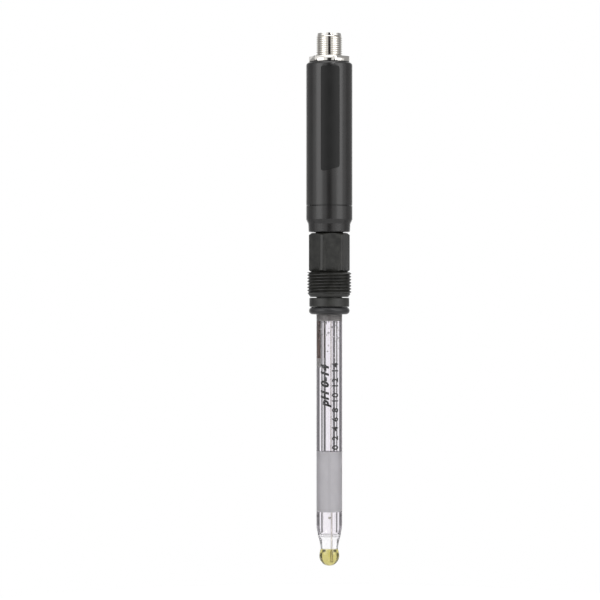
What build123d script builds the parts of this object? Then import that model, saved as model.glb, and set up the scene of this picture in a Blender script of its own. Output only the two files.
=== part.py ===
"""Combination pH electrode with a screw-on transmitter head.

Millimetres, +Z up, towards the plug. The origin is on the axis, on the thrust collar's lower face,
which is where the insertion length is measured from. The tip points down and the front faces -Y.
"""

import os
from math import ceil, cos, radians, sin, sqrt, tan

from build123d import *

# Glass shaft, from the collar's lower face down to the tip of the bulb.
insertion_length = 120.0
shaft_diameter = 12.0
shaft_wall = 1.1
shaft_in_head = 22.0  # how far the tube runs up into the moulded head
stem_diameter = 5.6  # inner tube that carries the bulb
stem_wall = 0.8
stem_above_shaft = 2.0
fluid_gap = 0.02  # between a filling and the glass around it

# Blown tip, heights above the lowest point of the bulb.
bulb_diameter = 9.26
bulb_wall = 0.5
neck_height = 7.8
neck_diameter = 8.0
neck_wall = 0.95
throat_height = 10.0  # between waist and neck
throat_diameter = 8.56
waist_height = 12.2  # where the glass below the ring seal narrows fastest
waist_diameter = 9.4
seal_height = 14.5  # ring seal between outer tube and inner tube
seal_step = 0.62  # how much smaller the ring seal's radius is than the shaft's
seal_lip = 0.14  # how much thinner the outer tube is there
seal_slope = 0.15  # how far the glass leans inwards per millimetre just under the ring seal
shoulder_height = 18.8
shoulder_mid_height = 16.3
shoulder_mid_diameter = 11.2
shoulder_mid_bore = 9.14
bell_height = 16.5  # where the inner tube begins to flare
bore_flare_height = 13.9  # where its bore is halfway open
bore_flare_diameter = 6.4
bore_waist_height = 11.9

# Fillings of the gap between the two tubes: clear gel at the pins, salt, gel, and the plug under the head.
gel_above_pins = 1.9
salt_length = 28.0
plug_depth = 6.5  # below the collar's lower face
plug_height = 10.5

# Reference cartridge, a coloured rod in the gap, with a porous plug in its lower end.
cartridge_diameter = 1.9
cartridge_depth = 23.8
cartridge_plug_length = 4.2
cartridge_plug_edge = 0.38
cartridge_in_head = 12.0
lead_diameter = 0.5

# Silver wire in the inner tube, with a thicker silver chloride tip.
wire_diameter = 0.6
wire_offset = 0.8
wire_tip_diameter = 1.0
wire_tip_length = 4.2
wire_tip_edge = 0.3
wire_tip_above_bulb = 1.9

# Porous ceramic pins through the shaft's wall.
junction_count = 3
junction_height = 22.6
junction_diameter = 1.2
junction_inset = 0.3

# Sealing ring and thrust collar on the shaft.
collar_diameter = 18.5
collar_height = 4.25
collar_edge = 0.35
ring_section = 3.4
ring_seat_gap = 0.05
shaft_clearance = 0.05  # radial, for what is pushed over the shaft

# Moulded screw head: process thread, hexagon and coupling stub.
head_gap = 0.35  # between the collar and the head
thread_diameter = 20.4
thread_length = 9.5
thread_lead_in = 2.0
lead_in_diameter = 17.6
hexagon_across_flats = 17.0
hexagon_turned_diameter = 19.0
hexagon_length = 18.1
hexagon_angle = 7.5
hexagon_chamfer = 0.9
hexagon_top_diameter = 16.6
stub_core_diameter = 12.2
neck_of_stub_step = 0.3  # the plain neck's radius above the core's
neck_of_stub_length = 1.8
stub_thread_depth = 1.9
stub_thread_length = 3.4
coupling_pitch = 2.4  # coarse right-hand thread of stub and nut
coupling_flank_angle = 12.0
coupling_root_sink = 0.2  # how far the ridge's foot is sunk into its core
stub_runout = 0.9
stub_top_step = 0.4  # the ridge's last height above the core
potting_wall = 0.55
potting_floor = 8.5  # lowest resin, above the collar's lower face
potting_top = 31.5

# Contacts on top of the stub.
contact_cap_setback = 0.825  # the cap's rim inside the stub's core
contact_cap_height = 1.8
contact_seat_gap = 0.1
contact_cap_lip = 0.475  # the cap's rim beyond its shank
contact_wall = 1.4
inner_contact_diameter = 2.4
contact_recess = 0.5  # the insulator's face below the cap's rim, and the pin's below that
contact_cap_edge = 0.3
contact_pin_edge = 0.2
contact_air = 0.05  # between the contacts of the two halves

# Coupling nut, which turns on the transmitter's lower end.
nut_gap = 0.5  # between the hexagon and the nut
nut_bottom_diameter = 19.2
nut_skirt_diameter = 19.5
nut_skirt_length = 3.7
nut_flare_length = 2.1
nut_length = 12.1
nut_thread_clearance = 0.15
nut_neck_clearance = 0.4  # radial, between the nut's bore and the stub's neck
nut_thread_length = 5.4
nut_mouth_edge = 0.8
nut_lip_length = 2.5
nut_edge = 0.3

# Transmitter housing and the spigot that holds the nut.
housing_diameter = 21.4
housing_gap = 0.25  # the dark line between nut and housing
housing_length = 66.15
housing_wall = 2.1
housing_edge = 1.4
housing_floor = 2.0
spigot_diameter = 17.0
spigot_clearance = 0.06  # radial running fit in the nut's lip
spigot_wall = 1.3
rib_height = 0.65
rib_length = 3.8
rib_edge = 0.4
rib_play = 0.2

# Label recess on the front of the housing.
label_width = 8.6
label_centre = 0.3
label_top_margin = 2.2
label_left_length = 48.7
label_right_length = 46.6
label_depth = 0.3
label_thickness = 0.2
label_corner = 1.2
label_small_corner = 0.7
label_clearance = 0.05

# Plug connector on top, a round flange, a hexagon and a 12 mm thread.
gasket_height = 0.4
gasket_diameter = 18.4
flange_diameter = 18.9
flange_height = 1.1
plug_hexagon_across_flats = 17.0
plug_hexagon_height = 1.3
plug_hexagon_angle = -13.0
plug_neck_diameter = 11.0
plug_neck_height = 0.4
plug_thread_diameter = 12.0
plug_thread_length = 9.2
plug_end_diameter = 10.9
plug_end_height = 1.1
plug_bore_diameter = 9.1
plug_shank_length = 6.9
plug_shank_bore = 14.0
plug_shank_wall_depth = 2.9
press_clearance = 0.05  # radial, for what is pressed or glued into a bore
insert_face_depth = 9.2
insert_base_height = 2.0
key_width = 1.0
key_depth = 0.6
key_top_depth = 1.6
pin_diameter = 1.0
pin_edge = 0.2
pin_circle_diameter = 5.0
pin_reach = 4.8
pin_clearance = 0.02

# Electronics inside the housing.
plug_board_thickness = 1.0
board_thickness = 1.6
board_width = 14.2
board_tongue_width = 11.6
board_tongue_length = 2.0
board_face = 0.65  # the board's front face, behind the axis
board_slot_depth = 1.0
solder_gap = 0.03

# Contact carrier in the spigot.
carrier_flange_height = 1.2
carrier_flange_clearance = 0.1
ring_contact_inset = 0.175  # the ring's rim inside the cap's
ring_contact_width = 1.4
ring_contact_height = 1.45
ring_tail_diameter = 1.0
centre_contact_diameter = 2.0
centre_contact_collar = 3.6
centre_contact_collar_height = 0.7
centre_tail_diameter = 1.2
tail_above_carrier = 3.0
seal_thickness = 1.65
seal_on_stub = 0.5  # width of the stub's face under the seal
seal_gap = 0.05

# Radii and heights that follow from the sizes above.
shaft_r = shaft_diameter / 2
shaft_bore_r = shaft_r - shaft_wall
stem_r = stem_diameter / 2
stem_bore_r = stem_r - stem_wall
bulb_r = bulb_diameter / 2
neck_r = neck_diameter / 2
waist_r = waist_diameter / 2
throat_r = throat_diameter / 2
bore_flare_r = bore_flare_diameter / 2
shoulder_mid_r = shoulder_mid_diameter / 2
shoulder_mid_bore_r = shoulder_mid_bore / 2
seal_r = shaft_r - seal_step
seal_bore_r = seal_r - shaft_wall + seal_lip

tip_z = -insertion_length
bulb_z = tip_z + bulb_r
neck_z = tip_z + neck_height
throat_z = tip_z + throat_height
bore_waist_z = tip_z + bore_waist_height
waist_z = tip_z + waist_height
seal_z = tip_z + seal_height
bore_flare_z = tip_z + bore_flare_height
bell_z = tip_z + bell_height
shoulder_z = tip_z + shoulder_height
shoulder_mid_z = tip_z + shoulder_mid_height
stem_top_z = shaft_in_head + stem_above_shaft
plug_bottom_z = -plug_depth
junction_z = tip_z + junction_height
salt_bottom_z = junction_z + junction_diameter / 2 + gel_above_pins
salt_top_z = salt_bottom_z + salt_length
cartridge_x = -(stem_r + shaft_bore_r) / 2
cartridge_r = cartridge_diameter / 2
cartridge_end_z = -cartridge_depth
wire_r = wire_diameter / 2
wire_tip_r = wire_tip_diameter / 2
wire_tip_z = tip_z + bulb_wall + wire_tip_above_bulb

head_z = collar_height + head_gap
thread_z = head_z + thread_lead_in
hexagon_z = thread_z + thread_length
hexagon_top_z = hexagon_z + hexagon_length
stub_thread_z = hexagon_top_z + neck_of_stub_length
stub_top_z = stub_thread_z + stub_thread_length + stub_runout
stub_core_r = stub_core_diameter / 2
neck_of_stub_r = stub_core_r + neck_of_stub_step
stub_thread_r = stub_core_r + stub_thread_depth
potting_r = shaft_r + shaft_clearance + potting_wall
cap_z = stub_top_z + contact_seat_gap
cap_top_z = cap_z + contact_cap_height
cap_r = stub_core_r - contact_cap_setback
shank_r = cap_r - contact_cap_lip
contact_bore_r = shank_r - contact_wall
inner_contact_top_z = cap_top_z - 2 * contact_recess

nut_z = hexagon_top_z + nut_gap
nut_top_z = nut_z + nut_length
nut_bore_r = neck_of_stub_r + nut_neck_clearance
nut_chamber_z = nut_z + nut_thread_length
nut_lip_z = nut_top_z - nut_lip_length
housing_r = housing_diameter / 2
spigot_r = spigot_diameter / 2
rib_r = spigot_r + rib_height
rib_top_z = nut_lip_z - rib_play
spigot_z = rib_top_z - rib_length
spigot_bore_r = spigot_r - spigot_wall
housing_z = nut_top_z + housing_gap
housing_top_z = housing_z + housing_length
housing_bore_r = housing_r - housing_wall
floor_z = housing_z + housing_floor

gasket_z = housing_top_z
flange_z = gasket_z + gasket_height
plug_hexagon_z = flange_z + flange_height
plug_neck_z = plug_hexagon_z + plug_hexagon_height
plug_thread_z = plug_neck_z + plug_neck_height
plug_end_z = plug_thread_z + plug_thread_length
plug_top_z = plug_end_z + plug_end_height
plug_bore_r = plug_bore_diameter / 2
shank_bottom_z = flange_z - plug_shank_length
shank_bore_r = plug_shank_bore / 2
shank_step_z = flange_z - plug_shank_wall_depth
insert_face_z = plug_top_z - insert_face_depth
insert_base_z = shank_step_z - insert_base_height
plug_board_z = insert_base_z - plug_board_thickness
pin_r = pin_diameter / 2

seal_bottom_z = stub_top_z + seal_gap
seal_inner_r = stub_core_r - seal_on_stub
carrier_top_z = floor_z + carrier_flange_height
board_z = carrier_top_z - board_slot_depth
ring_contact_z = cap_top_z + contact_air
centre_contact_z = inner_contact_top_z + contact_air
centre_collar_z = ring_contact_z + ring_contact_height
tail_top_z = carrier_top_z + tail_above_carrier
ring_tail_r = ring_tail_diameter / 2
centre_tail_r = centre_tail_diameter / 2
ring_contact_r = cap_r - ring_contact_inset
ring_contact_bore_r = ring_contact_r - ring_contact_width
ring_tail_x = (ring_contact_bore_r + ring_contact_r) / 2
ring_tail_y = board_face - ring_tail_r - solder_gap

os.makedirs("parts", exist_ok=True)


def finish(piece, name):
    """Labels a piece and writes it as its own file."""
    piece.part.label = name
    export_step(piece.part, f"parts/{name}.step")


def outline(*points):
    """Closed straight-sided profile in the plane of X and Z, for a turned piece."""
    with BuildSketch(Plane.XZ) as profile:
        with BuildLine():
            Polyline(*points, close=True)
        make_face()
    return profile.sketch


def blown_cavity(gap):
    """Profile of the space inside inner tube and bulb, drawn in from the glass by gap."""
    with BuildSketch(Plane.XZ) as cavity:
        with BuildLine():
            Line((0, stem_top_z), (stem_bore_r - gap, stem_top_z))
            Line((stem_bore_r - gap, stem_top_z), (stem_bore_r - gap, bell_z))
            Spline(
                (stem_bore_r - gap, bell_z),
                (bore_flare_r - gap, bore_flare_z),
                (waist_r - neck_wall - gap, bore_waist_z),
                (neck_r - neck_wall - gap, neck_z),
                tangents=[(0, -1), (0, -1)],
            )
            TangentArc(
                (bulb_r - bulb_wall - gap, bulb_z), (neck_r - neck_wall - gap, neck_z), tangent=(0, 1)
            )
            CenterArc((0, bulb_z), bulb_r - bulb_wall - gap, -90, 90)
            Line((0, bulb_z - bulb_r + bulb_wall + gap), (0, stem_top_z))
        make_face()
    return cavity.sketch


# Inner tube. It flares into a bell whose rim closes the outer tube, then narrows to the neck.
with BuildPart() as inner_stem:
    with BuildSketch(Plane.XZ):
        with BuildLine():
            Line((0, stem_top_z), (stem_r, stem_top_z))
            Line((stem_r, stem_top_z), (stem_r, bell_z))
            TangentArc((stem_r, bell_z), (seal_bore_r, seal_z), tangent=(0, -1))
            Line((seal_bore_r, seal_z), (seal_r, seal_z))
            Spline(
                (seal_r, seal_z),
                (waist_r, waist_z),
                (throat_r, throat_z),
                (neck_r, neck_z),
                tangents=[(-seal_slope, -1), (0, -1)],
            )
            Polyline((neck_r, neck_z), (0, neck_z), (0, stem_top_z))
        make_face()
    revolve(axis=Axis.Z)
    revolve(blown_cavity(0), axis=Axis.Z, mode=Mode.SUBTRACT)
finish(inner_stem, "inner_stem")

# Bulb of thin pH-sensitive glass, blown onto the neck.
with BuildPart() as ph_membrane:
    with BuildSketch(Plane.XZ):
        with BuildLine():
            TangentArc((bulb_r, bulb_z), (neck_r, neck_z), tangent=(0, 1))
            CenterArc((0, bulb_z), bulb_r, -90, 90)
            Polyline((0, tip_z), (0, neck_z), (neck_r, neck_z))
        make_face()
    revolve(axis=Axis.Z)
    revolve(blown_cavity(0), axis=Axis.Z, mode=Mode.SUBTRACT)
finish(ph_membrane, "ph_membrane")

# Outer tube, drawn in at its lower end until it meets the bell's rim.
with BuildPart() as glass_shaft:
    with BuildSketch(Plane.XZ):
        with BuildLine():
            Line((shaft_bore_r, shaft_in_head), (shaft_r, shaft_in_head))
            Line((shaft_r, shaft_in_head), (shaft_r, shoulder_z))
            outer_bend = TangentArc((shaft_r, shoulder_z), (shoulder_mid_r, shoulder_mid_z), tangent=(0, -1))
            TangentArc(outer_bend @ 1, (seal_r, seal_z), tangent=outer_bend % 1)
            Line((seal_r, seal_z), (seal_bore_r, seal_z))
            Line((shaft_bore_r, shaft_in_head), (shaft_bore_r, shoulder_z))
            inner_bend = TangentArc(
                (shaft_bore_r, shoulder_z), (shoulder_mid_bore_r, shoulder_mid_z), tangent=(0, -1)
            )
            TangentArc(inner_bend @ 1, (seal_bore_r, seal_z), tangent=inner_bend % 1)
        make_face()
    revolve(axis=Axis.Z)
    with Locations(Plane.XY.offset(junction_z)):
        with PolarLocations(0, junction_count, start_angle=-90):
            Cylinder(
                junction_diameter / 2 + fluid_gap,
                shaft_diameter,
                rotation=(0, 90, 0),
                align=(Align.CENTER, Align.CENTER, Align.MIN),
                mode=Mode.SUBTRACT,
            )
finish(glass_shaft, "glass_shaft")

# Porous ceramic pins, flush with the outside of the shaft.
junction_face = sqrt(shaft_r**2 - (junction_diameter / 2) ** 2) - fluid_gap
with BuildPart() as ceramic_junctions:
    with Locations(Plane.XY.offset(junction_z)):
        with PolarLocations(shaft_bore_r - junction_inset, junction_count, start_angle=-90):
            Cylinder(
                junction_diameter / 2,
                junction_face - shaft_bore_r + junction_inset,
                rotation=(0, 90, 0),
                align=(Align.CENTER, Align.CENTER, Align.MIN),
            )
finish(ceramic_junctions, "ceramic_junctions")

# Silver wire on the inner tube's buffer side, with its thicker chloride tip in the bulb.
with BuildPart() as measuring_electrode:
    with BuildSketch(Plane.XY.offset(wire_tip_z)):
        with Locations((wire_offset, 0)):
            Circle(wire_tip_r)
    extrude(amount=wire_tip_length)
    fillet(measuring_electrode.faces().sort_by(Axis.Z)[0].edges(), wire_tip_edge)
    with BuildSketch(Plane.XY.offset(wire_tip_z + wire_tip_length)):
        with Locations((wire_offset, 0)):
            Circle(wire_r)
    extrude(amount=potting_top - wire_tip_z - wire_tip_length)
finish(measuring_electrode, "measuring_electrode")

# Buffer inside bulb and inner tube, up to a level hidden by the salt filling.
buffer_level_z = (salt_top_z + salt_bottom_z) / 2
with BuildPart() as buffer_solution:
    revolve(blown_cavity(fluid_gap), axis=Axis.Z)
    split(bisect_by=Plane.XY.offset(buffer_level_z), keep=Keep.BOTTOM)
    with BuildSketch(Plane.XY.offset(wire_tip_z - fluid_gap)):
        with Locations((wire_offset, 0)):
            Circle(wire_tip_r + fluid_gap)
    extrude(amount=wire_tip_length + 2 * fluid_gap, mode=Mode.SUBTRACT)
    with BuildSketch(Plane.XY.offset(wire_tip_z + wire_tip_length)):
        with Locations((wire_offset, 0)):
            Circle(wire_r + fluid_gap)
    extrude(until=Until.LAST, mode=Mode.SUBTRACT)
finish(buffer_solution, "buffer_solution")


def gap_ring(low_z, high_z):
    """Profile of the ring-shaped space between the two tubes from low_z to high_z."""
    inner, outer = stem_r + fluid_gap, shaft_bore_r - fluid_gap
    return outline((inner, low_z), (outer, low_z), (outer, high_z), (inner, high_z))


# Resin plug that closes the gap under the head, with a hole for the cartridge.
with BuildPart() as annulus_plug:
    revolve(gap_ring(plug_bottom_z, plug_bottom_z + plug_height), axis=Axis.Z)
    with BuildSketch(Plane.XY.offset(plug_bottom_z)):
        with Locations((cartridge_x, 0)):
            Circle(cartridge_r + fluid_gap)
    extrude(amount=plug_height, mode=Mode.SUBTRACT)
finish(annulus_plug, "annulus_plug")

# Reference cartridge and the porous plug in its lower end.
with BuildPart() as reference_cartridge:
    with BuildSketch(Plane.XY.offset(cartridge_end_z)):
        with Locations((cartridge_x, 0)):
            Circle(cartridge_r)
    extrude(amount=cartridge_depth + cartridge_in_head)
finish(reference_cartridge, "reference_cartridge")

with BuildPart() as cartridge_plug:
    with BuildSketch(Plane.XY.offset(cartridge_end_z)):
        with Locations((cartridge_x, 0)):
            Circle(cartridge_r)
    extrude(amount=-cartridge_plug_length)
    fillet(cartridge_plug.faces().sort_by(Axis.Z)[0].edges(), cartridge_plug_edge)
finish(cartridge_plug, "cartridge_plug")

# Lead from the cartridge up to the ring-shaped reference contact.
with BuildPart() as reference_lead:
    with BuildSketch(Plane.XY.offset(cartridge_in_head)):
        with Locations((cartridge_x, 0)):
            Circle(lead_diameter / 2)
    extrude(amount=potting_top - cartridge_in_head)
finish(reference_lead, "reference_lead")

# Gel above the salt filling, around the cartridge.
with BuildPart() as upper_gel:
    revolve(gap_ring(salt_top_z + fluid_gap, plug_bottom_z - fluid_gap), axis=Axis.Z)
    with BuildSketch(Plane.XY.offset(cartridge_end_z - cartridge_plug_length - fluid_gap)):
        with Locations((cartridge_x, 0)):
            Circle(cartridge_r + fluid_gap)
    extrude(until=Until.LAST, mode=Mode.SUBTRACT)
finish(upper_gel, "upper_gel")

# Milky reserve of undissolved salt.
with BuildPart() as salt_filling:
    revolve(gap_ring(salt_bottom_z, salt_top_z), axis=Axis.Z)
finish(salt_filling, "salt_filling")

# Clear gel between the salt and the ring seal, around the inner ends of the ceramic pins.
with BuildPart() as lower_gel:
    with BuildSketch(Plane.XZ):
        with BuildLine():
            Line((stem_r + fluid_gap, bell_z), (stem_r + fluid_gap, salt_bottom_z - fluid_gap))
            Line(
                (stem_r + fluid_gap, salt_bottom_z - fluid_gap),
                (shaft_bore_r - fluid_gap, salt_bottom_z - fluid_gap),
            )
            Line(
                (shaft_bore_r - fluid_gap, salt_bottom_z - fluid_gap),
                (shaft_bore_r - fluid_gap, shoulder_z),
            )
            gel_bend = TangentArc(
                (shaft_bore_r - fluid_gap, shoulder_z),
                (shoulder_mid_bore_r - fluid_gap, shoulder_mid_z),
                tangent=(0, -1),
            )
            Line(gel_bend @ 1, (stem_r + fluid_gap, bell_z))
        make_face()
    revolve(axis=Axis.Z)
    with Locations(Plane.XY.offset(junction_z)):
        with PolarLocations(shaft_bore_r - junction_inset - fluid_gap, junction_count, start_angle=-90):
            Cylinder(
                junction_diameter / 2 + fluid_gap,
                shaft_r,
                rotation=(0, 90, 0),
                align=(Align.CENTER, Align.CENTER, Align.MIN),
                mode=Mode.SUBTRACT,
            )
finish(lower_gel, "lower_gel")

# Thrust collar that presses the sealing ring, and the ring itself.
with BuildPart() as thrust_collar:
    collar_r, collar_bore_r = collar_diameter / 2, shaft_r + shaft_clearance
    revolve(
        outline((collar_bore_r, 0), (collar_r, 0), (collar_r, collar_height), (collar_bore_r, collar_height)),
        axis=Axis.Z,
    )
    outer_edges = thrust_collar.edges().filter_by(GeomType.CIRCLE).group_by(SortBy.RADIUS)[-1]
    chamfer(outer_edges, collar_edge)
finish(thrust_collar, "thrust_collar")

ring_r = ring_section / 2
with BuildPart() as sealing_ring:
    with BuildSketch(Plane.XZ):
        with Locations((shaft_r + fluid_gap + ring_r, -ring_seat_gap - ring_r)):
            Circle(ring_r)
    revolve(axis=Axis.Z)
finish(sealing_ring, "sealing_ring")



def coupling_ridge(low_z, high_z, gap):
    """Ridge of the coupling thread between two heights, grown by gap where it cuts the nut's groove."""
    mean_r = (stub_core_r + stub_thread_r) / 2
    foot_r, crest_r = stub_core_r - coupling_root_sink, stub_thread_r + gap
    foot_width = coupling_pitch / 4 + (mean_r - foot_r) * tan(radians(coupling_flank_angle)) + gap
    crest_width = coupling_pitch / 4 - (stub_thread_r - mean_r) * tan(radians(coupling_flank_angle)) + gap
    turns_below = ceil((stub_thread_z - low_z) / coupling_pitch) + 1
    start_z = stub_thread_z - turns_below * coupling_pitch
    with BuildPart() as ridge:
        with BuildLine() as path:
            Helix(coupling_pitch, high_z - start_z + coupling_pitch, stub_core_r, center=(0, 0, start_z))
        with BuildSketch(Plane.XZ):
            with BuildLine():
                Polyline(
                    (foot_r, start_z - foot_width),
                    (crest_r, start_z - crest_width),
                    (crest_r, start_z + crest_width),
                    (foot_r, start_z + foot_width),
                    close=True,
                )
            make_face()
        sweep(path=path.line, is_frenet=True)
        with BuildSketch(Plane.XY.offset(low_z)):
            Circle(2 * stub_thread_r)
        extrude(amount=high_z - low_z, mode=Mode.INTERSECT)
    return ridge.part


# Ridge of the stub's thread, turned to a chamfer at both ends.
with BuildPart() as stub_ridge:
    add(coupling_ridge(stub_thread_z, stub_top_z, 0))
    revolve(
        outline(
            (0, stub_thread_z),
            (stub_core_r, stub_thread_z),
            (stub_thread_r, stub_thread_z + stub_runout),
            (stub_thread_r, stub_thread_z + stub_thread_length),
            (stub_core_r + stub_top_step, stub_top_z),
            (0, stub_top_z),
        ),
        axis=Axis.Z,
        mode=Mode.INTERSECT,
    )

# Moulded head: lead-in, process thread at its crest diameter, hexagon and coupling stub.
with BuildPart() as screw_head:
    with BuildSketch(Plane.XY.offset(hexagon_z)):
        RegularPolygon(hexagon_across_flats / 2, 6, major_radius=False, rotation=hexagon_angle)
    extrude(amount=hexagon_length)
    turned_r, top_r = hexagon_turned_diameter / 2, hexagon_top_diameter / 2
    revolve(
        outline(
            (0, hexagon_z),
            (top_r, hexagon_z),
            (turned_r, hexagon_z + hexagon_chamfer),
            (turned_r, hexagon_top_z - hexagon_chamfer),
            (top_r, hexagon_top_z),
            (0, hexagon_top_z),
        ),
        axis=Axis.Z,
        mode=Mode.INTERSECT,
    )
    thread_r = thread_diameter / 2
    revolve(
        outline(
            (0, head_z), (lead_in_diameter / 2, head_z), (thread_r, thread_z), (thread_r, hexagon_z), (0, hexagon_z)
        ),
        axis=Axis.Z,
    )
    revolve(
        outline(
            (0, hexagon_top_z),
            (neck_of_stub_r, hexagon_top_z),
            (neck_of_stub_r, stub_thread_z),
            (stub_core_r, stub_thread_z),
            (stub_core_r, stub_top_z),
            (0, stub_top_z),
        ),
        axis=Axis.Z,
    )
    add(stub_ridge.part)
    with Locations(Plane.XY.offset(head_z)):
        Cylinder(
            shaft_r + shaft_clearance,
            potting_floor - head_z,
            align=(Align.CENTER, Align.CENTER, Align.MIN),
            mode=Mode.SUBTRACT,
        )
    with Locations(Plane.XY.offset(potting_floor)):
        Cylinder(
            potting_r,
            potting_top - potting_floor,
            align=(Align.CENTER, Align.CENTER, Align.MIN),
            mode=Mode.SUBTRACT,
        )
    with Locations(Plane.XY.offset(potting_top)):
        Cylinder(
            shank_r + press_clearance,
            stub_top_z - potting_top,
            align=(Align.CENTER, Align.CENTER, Align.MIN),
            mode=Mode.SUBTRACT,
        )
finish(screw_head, "screw_head")

# Resin that holds the glass in the head and seals the leads.
with BuildPart() as head_potting:
    potting_outer_r = potting_r - fluid_gap
    revolve(
        outline(
            (shaft_r + fluid_gap, potting_floor + fluid_gap),
            (potting_outer_r, potting_floor + fluid_gap),
            (potting_outer_r, potting_top - fluid_gap),
            (0, potting_top - fluid_gap),
            (0, stem_top_z + fluid_gap),
            (stem_r + fluid_gap, stem_top_z + fluid_gap),
            (stem_r + fluid_gap, shaft_in_head + fluid_gap),
            (shaft_r + fluid_gap, shaft_in_head + fluid_gap),
        ),
        axis=Axis.Z,
    )
    with BuildSketch(Plane.XY.offset(shaft_in_head)):
        with Locations((cartridge_x, 0)):
            Circle(lead_diameter / 2 + fluid_gap)
        with Locations((wire_offset, 0)):
            Circle(wire_r + fluid_gap)
    extrude(amount=potting_top - shaft_in_head, mode=Mode.SUBTRACT)
finish(head_potting, "head_potting")

# Steel contact cap with its shank, the insulator in it and the pin in the middle.
with BuildPart() as reference_contact:
    revolve(
        outline(
            (contact_bore_r, potting_top),
            (shank_r, potting_top),
            (shank_r, cap_z),
            (cap_r, cap_z),
            (cap_r, cap_top_z - contact_cap_edge),
            (cap_r - contact_cap_edge, cap_top_z),
            (contact_bore_r, cap_top_z),
        ),
        axis=Axis.Z,
    )
finish(reference_contact, "reference_contact")

with BuildPart() as contact_insulator:
    insulator_r = contact_bore_r - fluid_gap
    insulator_bore_r = inner_contact_diameter / 2 + fluid_gap
    revolve(
        outline(
            (insulator_bore_r, potting_top),
            (insulator_r, potting_top),
            (insulator_r, cap_top_z - contact_recess),
            (insulator_bore_r, cap_top_z - contact_recess),
        ),
        axis=Axis.Z,
    )
finish(contact_insulator, "contact_insulator")

with BuildPart() as measuring_contact:
    with BuildSketch(Plane.XY.offset(potting_top)):
        Circle(inner_contact_diameter / 2)
    extrude(amount=inner_contact_top_z - potting_top)
    chamfer(measuring_contact.faces().sort_by(Axis.Z)[-1].edges(), contact_pin_edge)
finish(measuring_contact, "measuring_contact")

# Coupling nut: turned outside with skirt and flare, then bored, threaded, and opened from above with the
# chamber for the spigot's rib and the lip that holds it.
nut_groove = coupling_ridge(nut_z - nut_edge, nut_chamber_z + nut_edge, nut_thread_clearance)
with BuildPart() as coupling_nut:
    skirt_z = nut_z + nut_skirt_length
    flare_z = skirt_z + nut_flare_length
    chamber_r = rib_r + spigot_clearance
    lip_r = spigot_r + spigot_clearance
    revolve(
        outline(
            (0, nut_z),
            (nut_bottom_diameter / 2 - nut_edge, nut_z),
            (nut_bottom_diameter / 2, nut_z + nut_edge),
            (nut_skirt_diameter / 2, skirt_z),
            (housing_r, flare_z),
            (housing_r, nut_top_z - nut_edge / 2),
            (housing_r - nut_edge / 2, nut_top_z),
            (0, nut_top_z),
        ),
        axis=Axis.Z,
    )
    with BuildSketch(Plane.XY.offset(nut_z)):
        Circle(nut_bore_r)
    extrude(amount=nut_length, mode=Mode.SUBTRACT)
    add(nut_groove, mode=Mode.SUBTRACT)
    revolve(
        outline(
            (0, nut_chamber_z),
            (chamber_r, nut_chamber_z),
            (chamber_r, nut_lip_z),
            (lip_r, nut_lip_z),
            (lip_r, nut_top_z),
            (0, nut_top_z),
        ),
        axis=Axis.Z,
        mode=Mode.SUBTRACT,
    )
    revolve(
        outline((0, nut_z), (nut_bore_r + nut_mouth_edge, nut_z), (0, nut_z + nut_bore_r + nut_mouth_edge)),
        axis=Axis.Z,
        mode=Mode.SUBTRACT,
    )
finish(coupling_nut, "coupling_nut")


def label_outline(margin):
    """Label window in the plane of X and Z, drawn in by margin: slanted foot and rounded corners."""
    left = label_centre - label_width / 2 + margin
    right = label_centre + label_width / 2 - margin
    top = housing_top_z - label_top_margin - margin
    with BuildSketch(Plane.XZ) as window:
        with BuildLine():
            Polyline(
                (left, top),
                (right, top),
                (right, top - label_right_length + 2 * margin),
                (left, top - label_left_length + 2 * margin),
                close=True,
            )
        make_face()
        corners = window.vertices().group_by(Axis.Z)
        fillet(corners[-1], label_corner)
        fillet(corners[0], label_small_corner)
    return window.sketch


def label_shell(margin, thickness):
    """Curved sheet under the label window, thickness above the recess's floor."""
    floor_r = housing_r - label_depth
    with BuildPart(mode=Mode.PRIVATE) as shell:
        extrude(label_outline(margin), amount=housing_diameter, dir=(0, -1, 0))
        with BuildSketch(Plane.XY.offset(housing_z)):
            Circle(floor_r + thickness)
            Circle(floor_r, mode=Mode.SUBTRACT)
        extrude(amount=housing_length, mode=Mode.INTERSECT)
    return shell.part


# Housing: tube open at the top, floor with the spigot, and the rib that the nut holds.
label_recess = label_shell(0, 2 * label_depth)
with BuildPart() as upper_housing:
    revolve(
        outline(
            (spigot_bore_r, spigot_z),
            (rib_r - rib_edge, spigot_z),
            (rib_r, spigot_z + rib_edge),
            (rib_r, rib_top_z),
            (spigot_r, rib_top_z),
            (spigot_r, housing_z),
            (housing_r, housing_z),
            (housing_r, housing_top_z),
            (housing_bore_r, housing_top_z),
            (housing_bore_r, floor_z),
            (spigot_bore_r, floor_z),
        ),
        axis=Axis.Z,
    )
    rims = upper_housing.edges().filter_by(GeomType.CIRCLE).group_by(Axis.Z)[-1]
    fillet(rims.sort_by(SortBy.RADIUS)[-1], housing_edge)
    add(label_recess, mode=Mode.SUBTRACT)
finish(upper_housing, "upper_housing")

# Bare label film in the recess.
label_film = label_shell(label_clearance, label_thickness)
with BuildPart() as label_plate:
    add(label_film)
finish(label_plate, "label_plate")

# Gasket between housing and connector flange.
with BuildPart() as flange_gasket:
    with BuildSketch(Plane.XY.offset(gasket_z)):
        Circle(gasket_diameter / 2)
        Circle(housing_bore_r, mode=Mode.SUBTRACT)
    extrude(amount=gasket_height)
finish(flange_gasket, "flange_gasket")

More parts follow.
